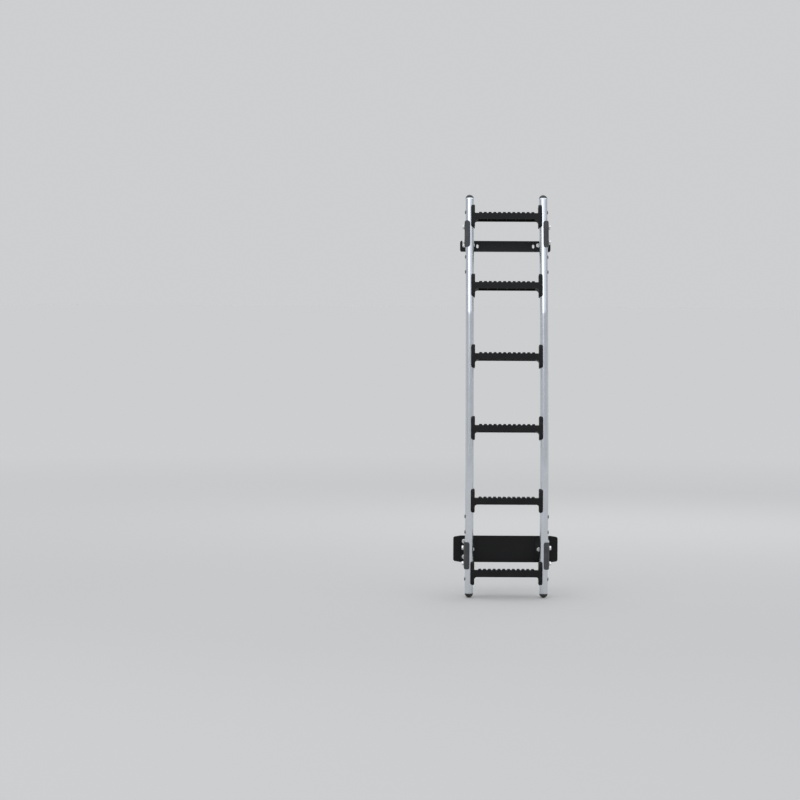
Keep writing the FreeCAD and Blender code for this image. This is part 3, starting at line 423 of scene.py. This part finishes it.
def screw_profile(columns=48):
    """Radius and height from the point of the screw to the bottom of its recess."""
    angle = around(columns)
    level = np.ones(columns)
    body = [(0, -SCREW_LENGTH), (SCREW_RADIUS, 0.004 - SCREW_LENGTH), (SCREW_RADIUS, -SCREW_THICK),
            (SCREW_HEAD, -SCREW_THICK), (SCREW_HEAD, -0.0003), (SCREW_HEAD - 0.0003, 0)]
    outside = np.array(body)[:, None] * np.ones((1, columns, 1))
    reach_in = np.linspace(0.0032, 0, 16)[:, None]
    off_arm = np.minimum(np.abs(reach_in * np.cos(angle)), np.abs(reach_in * np.sin(angle)))
    arm = np.clip((0.00065 - off_arm) / 0.00025, 0, 1) * np.clip((0.0022 - reach_in) / 0.0006, 0, 1)
    top = np.stack([reach_in * level, -0.0014 * arm], axis=-1)
    return np.concatenate([outside, top])


inwards = {-1: "right", 1: "left"}
screw_seats = [seat(FOOT_PAST_RUNG + k * RUNG_PITCH, side * SADDLE_IN, 0, rise, inwards[side])
               for k in range(6) for side in SIDES.values() for rise in (SCREW_RISE, -SCREW_RISE)]
screws = turned_pieces("flat_head_screws", screw_profile(), screw_seats, "screw_steel", ["rung_screws"])

# %% [markdown]
# ## Rungs, brackets and plates
# These shapes are right in the CAD, but their edges are knife sharp, and nothing moulded or coated
# has such edges. A copy of each node has its flat triangles joined into whole faces and then gets a
# small bevel. A rung's copy also carries how far each point stands up its tread, because wear follows
# that, and a bracket's how far it stands off the door, which sets painted light on the clamps and
# painted shade on the feet.

# %% Eased copies of CAD nodes
def eased_copy(node, slot, edge, fields=None):
    """A copy of a CAD node with clean flats and edges rounded by the bevel's width."""
    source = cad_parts[node].data
    flat = np.zeros(len(source.vertices) * 3)
    source.vertices.foreach_get("co", flat)
    corners = np.zeros(len(source.loops), int)
    source.loops.foreach_get("vertex_index", corners)
    points = flat.reshape(-1, 3)
    piece = new_piece(f"{node}_eased", points, corners.reshape(-1, 3), slot, [node],
                      fields(points) if fields else ())
    work = bmesh.new()
    work.from_mesh(piece.data)
    bmesh.ops.dissolve_limit(work, angle_limit=np.radians(0.8), verts=work.verts, edges=work.edges)
    work.to_mesh(piece.data)
    work.free()
    piece.data.set_sharp_from_angle(angle=np.radians(32))
    bevel = piece.modifiers.new("eased_edges", "BEVEL")
    bevel.width = edge
    bevel.segments = 3
    bevel.limit_method = "ANGLE"
    bevel.angle_limit = np.radians(32)
    bevel.harden_normals = True
    bevel.use_clamp_overlap = True
    return piece


def in_line_with(distance, title, axis):
    """Gives each point its coordinate from a place on the line: axis 0 is backwards and 1 is upwards."""
    y, z, lean = along(distance)
    way = [(np.cos(lean), -np.sin(lean)), (np.sin(lean), np.cos(lean))][axis]

    def fields(points):
        return [(title, (points[:, 1] - y) * way[0] + (points[:, 2] - z) * way[1])]

    return fields


rungs = [eased_copy(f"rung_{k + 1}", "rung_plastic", 0.0007,
                    in_line_with(FOOT_PAST_RUNG + k * RUNG_PITCH, "tread_height", 1)) for k in range(6)]
clamped_at = {"lower": LOW_CLAMP, "upper": LINE_LENGTH - LOW_CLAMP}
brackets = [eased_copy(f"{place}_bracket_{word}", "bracket_paint", 0.0008,
                       in_line_with(clamped_at[place], "reach_back", 0))
            for place in clamped_at for word in SIDES]
plates = [eased_copy(node, "plate_paint", 0.0008) for node in ("lower_plate", "upper_crossbar")]

# %% [markdown]
# ## Writing shader maths as Python
# A small class wraps a socket, and its operators add Math nodes, so a mask reads like a formula. A
# second one adds any other node to a tree by name, and a third is a material that such fields feed.

# %% Fields and finishes
def feed(tree, socket, value):
    """Link a field to a socket, or set the socket to a plain value."""
    if isinstance(value, Field):
        tree.links.new(value.socket, socket)
    else:
        socket.default_value = value


class Field:
    """A value that changes over a surface; + - * / with numbers or fields each add one Math node."""

    def __init__(self, tree, socket):
        self.tree, self.socket = tree, socket

    def joined(self, operation, first, second):
        node = self.tree.nodes.new("ShaderNodeMath")
        node.operation = operation
        feed(self.tree, node.inputs[0], first)
        feed(self.tree, node.inputs[1], second)
        return Field(self.tree, node.outputs[0])

    def __add__(self, other):
        return self.joined("ADD", self, other)

    def __sub__(self, other):
        return self.joined("SUBTRACT", self, other)

    def __rsub__(self, other):
        return self.joined("SUBTRACT", other, self)

    def __mul__(self, other):
        return self.joined("MULTIPLY", self, other)

    def __truediv__(self, other):
        return self.joined("DIVIDE", self, other)

    __radd__, __rmul__ = __add__, __mul__


class Shading:
    """Fields on one node tree."""

    def __init__(self, tree):
        self.tree = tree

    def node(self, kind, output, settings=None, **values):
        """Any node: its settings first, then its sockets by name, then one of its outputs as a field."""
        made = self.tree.nodes.new(kind)
        for title, value in (settings or {}).items():
            setattr(made, title, value)
        for title, value in values.items():
            feed(self.tree, made.inputs[title.replace("_", " ")], value)
        return Field(self.tree, made.outputs[output])

    def place(self, stretch=(1, 1, 1), attribute=None):
        """Object coordinates, or a point attribute, stretched along each axis."""
        if attribute:
            base = self.node("ShaderNodeAttribute", "Vector", {"attribute_name": attribute})
        else:
            base = self.node("ShaderNodeTexCoord", "Object")
        made = self.tree.nodes.new("ShaderNodeVectorMath")
        made.operation = "MULTIPLY"
        feed(self.tree, made.inputs[0], base)
        feed(self.tree, made.inputs[1], stretch)
        return Field(self.tree, made.outputs["Vector"])

    def noise(self, size, detail=2.0, place=None):
        """Soft noise from 0 to 1 whose blotches are about a size in metres across."""
        return self.node("ShaderNodeTexNoise", "Fac", Vector=place or self.place(), Scale=1 / size,
                         Detail=detail)

    def between(self, field, low, high):
        """0 where a field is under low, 1 where it is over high, and an even slope between."""
        made = self.tree.nodes.new("ShaderNodeMapRange")
        for socket, value in zip(("Value", "From Min", "From Max"), (field, low, high)):
            feed(self.tree, made.inputs[socket], value)
        return Field(self.tree, made.outputs["Result"])

    def colours(self, mask, first, second):
        """The first colour where the mask is 0 and the second where it is 1."""
        made = self.tree.nodes.new("ShaderNodeMix")
        made.data_type = "RGBA"
        sockets = [made.inputs[number] for number in (0, 6, 7)]
        for socket, value in zip(sockets, (mask, first, second)):
            feed(self.tree, socket, value if isinstance(value, Field) else (*value, 1.0))
        return Field(self.tree, made.outputs[2])


class Finish(Shading):
    """A material: one Principled shader with fixed values, and fields that feed it."""

    def __init__(self, name, **fixed):
        self.material = bpy.data.materials.new(name)
        self.material.use_nodes = True
        super().__init__(self.material.node_tree)
        self.shader = self.tree.nodes["Principled BSDF"]
        for title, value in fixed.items():
            self.shader.inputs[title.replace("_", " ").title().replace("Ior", "IOR")].default_value = value

    def relief(self, height, depth, strength=1.0):
        """Small hills as normals: the height field times a depth in metres."""
        normal = self.node("ShaderNodeBump", "Normal", Height=height, Distance=depth, Strength=strength)
        feed(self.tree, self.shader.inputs["Normal"], normal)

    def vary(self, **fields):
        """Feed fields to the shader's sockets by name."""
        for title, value in fields.items():
            feed(self.tree, self.shader.inputs[title.replace("_", " ")], value)

    def on(self, *pieces):
        """Give the finish to pieces."""
        for piece in pieces:
            if piece.data.materials:
                piece.material_slots[0].material = self.material
            else:
                piece.data.materials.append(self.material)
        print(self.material.name, "on", len(pieces), "pieces,", len(self.tree.nodes), "nodes")


# %% [markdown]
# ## Anodised tube
# Drawn aluminium shows fine lines along its length under a clear satin skin. Noise on the straight
# tube's coordinates, squeezed along the tube, gives lines that follow both bends.

# %% Finish of the stiles
tube = Finish("satin_anodised", metallic=1.0)
lines = tube.noise(0.0006, 3.0, tube.place((1, 1, 0.008), "straight_tube"))
cloud = tube.noise(0.06, 3.0)
scuff = tube.between(tube.noise(0.012, 6.0, tube.place((1, 1, 0.25), "straight_tube")), 0.66, 0.8)
shade = cloud * 0.6 + lines * 0.4
tube.vary(Base_Color=tube.colours(shade - scuff * 0.3, (0.645, 0.675, 0.715), (0.79, 0.82, 0.86)),
          Roughness=0.19 + lines * 0.08 + cloud * 0.05 + scuff * 0.12)
tube.relief(lines + scuff * 0.5, 0.00002, 0.5)
tube.on(*stiles)

# %% [markdown]
# ## Grained black mouldings
# The rungs come from a spark-eroded mould: a fine even grain, rather matt. Road dust settles in broad
# clouds, and boots polish the tops of the tread blocks.

# %% Finish of the rungs
rung_finish = Finish("grained_black_plastic", specular_ior_level=0.22)
grain = rung_finish.noise(0.0009, 2.0)
pits = rung_finish.noise(0.0004, 1.0)
dust = rung_finish.between(rung_finish.noise(0.05, 6.0), 0.42, 0.75)
height = rung_finish.node("ShaderNodeAttribute", "Fac", {"attribute_name": "tread_height"})
trodden = rung_finish.between(rung_finish.noise(0.02, 4.0), 0.4, 0.6)
worn = rung_finish.between(height, 0.0112, 0.0124) * trodden
pale = dust * 0.35 + worn * 0.35 + grain * 0.25
rung_finish.vary(Base_Color=rung_finish.colours(pale, (0.0045, 0.0045, 0.005), (0.022, 0.022, 0.0215)),
                 Roughness=0.52 + dust * 0.14 - worn * 0.12 + grain * 0.06)
rung_finish.relief(grain * 0.7 + pits * 0.3, 0.00016, 0.6)
rung_finish.on(*rungs)

# %% [markdown]
# ## Powder coat
# Powder melts into a skin with a faint orange peel, glossier on the plates than on the brackets. A few
# dull water marks break up the gloss. The clamps, which stand furthest out, are painted lighter as
# painted light, and the feet behind them keep the dark tone as painted shade.

# %% Finishes of the brackets and the plates
def powder_coat(name, deep, light, roughness, peel, painted_lit_clamps=False):
    """Powder coat between two colours, with orange peel, water marks and, on brackets, painted light on the
    clamps and painted shade on the feet.
    """
    coat = Finish(name, specular_ior_level=0.25)
    skin = coat.noise(0.0022, 2.0)
    marks = coat.between(coat.noise(0.035, 5.0), 0.5, 0.72)
    pale = marks * 0.3
    # Painted light and shade: up to 0.018 behind the tube's line (the clamps) the paint is lighter, as if
    # lit; past 0.050 (the feet) it keeps the dark tone, as if in shade.
    if painted_lit_clamps:
        behind = coat.node("ShaderNodeAttribute", "Fac", {"attribute_name": "reach_back"})
        pale = pale + (1 - coat.between(behind, 0.018, 0.050)) * 0.7
    coat.vary(Base_Color=coat.colours(pale, deep, light), Roughness=roughness + marks * 0.10 + skin * 0.05)
    coat.relief(skin, peel, 0.5)
    return coat


# The last True gives the brackets painted light on their clamps and painted shade on their feet.
satin = powder_coat("satin_powder_coat", (0.010, 0.010, 0.011), (0.080, 0.082, 0.087), 0.38, 0.00008, True)
glossy = powder_coat("semi_gloss_powder_coat", (0.006, 0.006, 0.0065), (0.015, 0.015, 0.016), 0.30, 0.00006)
satin.on(*brackets)
glossy.on(*plates)

# %% Finishes of the caps and plugs
def soft_moulding(name, deep, light, roughness):
    """Smooth moulded plastic with a little bloom."""
    plastic = Finish(name)
    bloom = plastic.between(plastic.noise(0.012, 4.0), 0.4, 0.7)
    fine = plastic.noise(0.0006, 2.0)
    plastic.vary(Base_Color=plastic.colours(bloom * 0.6 + fine * 0.3, deep, light),
                 Roughness=roughness + bloom * 0.12)
    plastic.relief(fine, 0.00005, 0.4)
    return plastic


soft_moulding("black_cap_plastic", (0.018, 0.018, 0.018), (0.042, 0.042, 0.042), 0.42).on(*caps)
soft_moulding("grey_plug_plastic", (0.13, 0.133, 0.137), (0.20, 0.203, 0.208), 0.46).on(*plugs)

# %% [markdown]
# ## Plated steel
# Zinc plate is bright with a faint patchwork of crystals and a slight blue or straw cast. Voronoi
# cells give the crystals, and soft noise dulls them here and there.

# %% Finishes of the fasteners
def plated(name, cool, warm, roughness):
    """Plated or stainless steel with crystals and dull patches."""
    metal = Finish(name, metallic=1.0)
    crystals = metal.node("ShaderNodeTexVoronoi", "Distance", Vector=metal.place(), Scale=1 / 0.0016)
    dull = metal.between(metal.noise(0.006, 4.0), 0.35, 0.7)
    metal.vary(Base_Color=metal.colours(dull * 0.7 + crystals * 0.4, cool, warm),
               Roughness=roughness + dull * 0.14 + crystals * 0.08)
    metal.relief(crystals, 0.00003, 0.4)
    return metal


plated("bright_zinc", (0.92, 0.93, 0.95), (0.80, 0.79, 0.76), 0.28).on(*bolts)
plated("zinc_washer_plate", (0.64, 0.66, 0.68), (0.52, 0.52, 0.49), 0.30).on(*washers)
plated("stainless_screw", (0.56, 0.57, 0.58), (0.48, 0.48, 0.47), 0.28).on(screws)
plated("yellow_zinc", (0.58, 0.52, 0.34), (0.46, 0.42, 0.30), 0.32).on(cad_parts["clamp_insert_nuts"])

# %% [markdown]
# ## Floor, light and camera
# The ladder stands on a plain pale floor that fades into the horizon. The surroundings are a pale band
# at the horizon, a slightly darker wall above it and a bright soft ceiling. The leaning top of each
# tube mirrors the ceiling and the run below mirrors the wall, so the bend between them reads at once.
# Two large soft lamps, one high in front and one high behind, give the edges their highlights. The
# camera is level with the upper rungs and far off, as in the photograph, looking slightly down.

# %% Floor and light
FLOOR_Z = cad_box[0][2] - 0.0005
FLOOR_HALF = 400.0
corners = np.array([[-1, -1], [1, -1], [1, 1], [-1, 1]]) * FLOOR_HALF
floor_mesh = bpy.data.meshes.new("floor")
floor_mesh.from_pydata(np.column_stack([corners, np.full(4, FLOOR_Z)]), [], [(0, 1, 2, 3)])
floor = bpy.data.objects.new("floor", floor_mesh)
bpy.context.scene.collection.objects.link(floor)
paper = Finish("pale_floor", roughness=0.9, specular_ior_level=0.0)
from_ladder = paper.node("ShaderNodeVectorMath", "Value", {"operation": "LENGTH"}, Vector=paper.place())
distant = paper.between(from_ladder, 1.5, 8)
paper.vary(Base_Color=paper.colours(distant, (0.520, 0.510, 0.494), (0.619, 0.602, 0.581)))
paper.on(floor)

world = bpy.data.worlds.new("pale_studio")
world.use_nodes = True
sky = Shading(world.node_tree)
upwards = sky.node("ShaderNodeSeparateXYZ", "Z", Vector=sky.node("ShaderNodeTexCoord", "Generated"))
HORIZON, WALL, OVERHEAD = (0.61, 0.62, 0.63), (0.44, 0.45, 0.47), (1.11, 1.16, 1.23)
wall = sky.between(upwards, *np.sin(np.radians((7, 12))))
overhead = sky.between(upwards, *np.sin(np.radians((24, 29))))
feed(sky.tree, sky.tree.nodes["Background"].inputs["Color"],
     sky.colours(overhead, sky.colours(wall, HORIZON, WALL), OVERHEAD))
bpy.context.scene.world = world
bpy.context.scene.view_settings.view_transform = "Standard"


def soft_lamp(name, place, aim, size, power):
    """A square area lamp at a place, turned to shine at a point."""
    lamp = bpy.data.lights.new(name, "AREA")
    lamp.shape, lamp.size, lamp.energy = "SQUARE", size, power
    holder = bpy.data.objects.new(name, lamp)
    turn = (Vector(place) - Vector(aim)).to_track_quat("Z", "Y").to_matrix().to_4x4()
    holder.matrix_world = Matrix.Translation(place) @ turn
    bpy.context.scene.collection.objects.link(holder)


MIDDLE = (0.0, 0.0, 0.5)
soft_lamp("high_front", (-1.6, -3.2, 3.4), MIDDLE, 2.6, 22)
soft_lamp("high_back", (0.8, 3.0, 2.6), MIDDLE, 2.0, 22)

# %% Camera
CAMERA_PLACE = (-0.353, -8.792, 0.8326)
TURN_LEFT, LOOKS_DOWN, ROLL = np.radians((0.0196, 2.18, 0.29))
PHOTO_WIDTH, FOCAL_PIXELS = 800, 2627
camera_data = bpy.data.cameras.new("photo_camera")
camera_data.sensor_width = 36
camera_data.lens = camera_data.sensor_width * FOCAL_PIXELS / PHOTO_WIDTH
camera = bpy.data.objects.new("photo_camera", camera_data)
camera.matrix_world = (Matrix.Translation(CAMERA_PLACE) @ Matrix.Rotation(TURN_LEFT, 4, "Z")
                       @ Matrix.Rotation(np.pi / 2 - LOOKS_DOWN, 4, "X") @ Matrix.Rotation(ROLL, 4, "Z"))
bpy.context.scene.collection.objects.link(camera)
bpy.context.scene.camera = camera
print("lens:", round(camera_data.lens, 1), "mm")
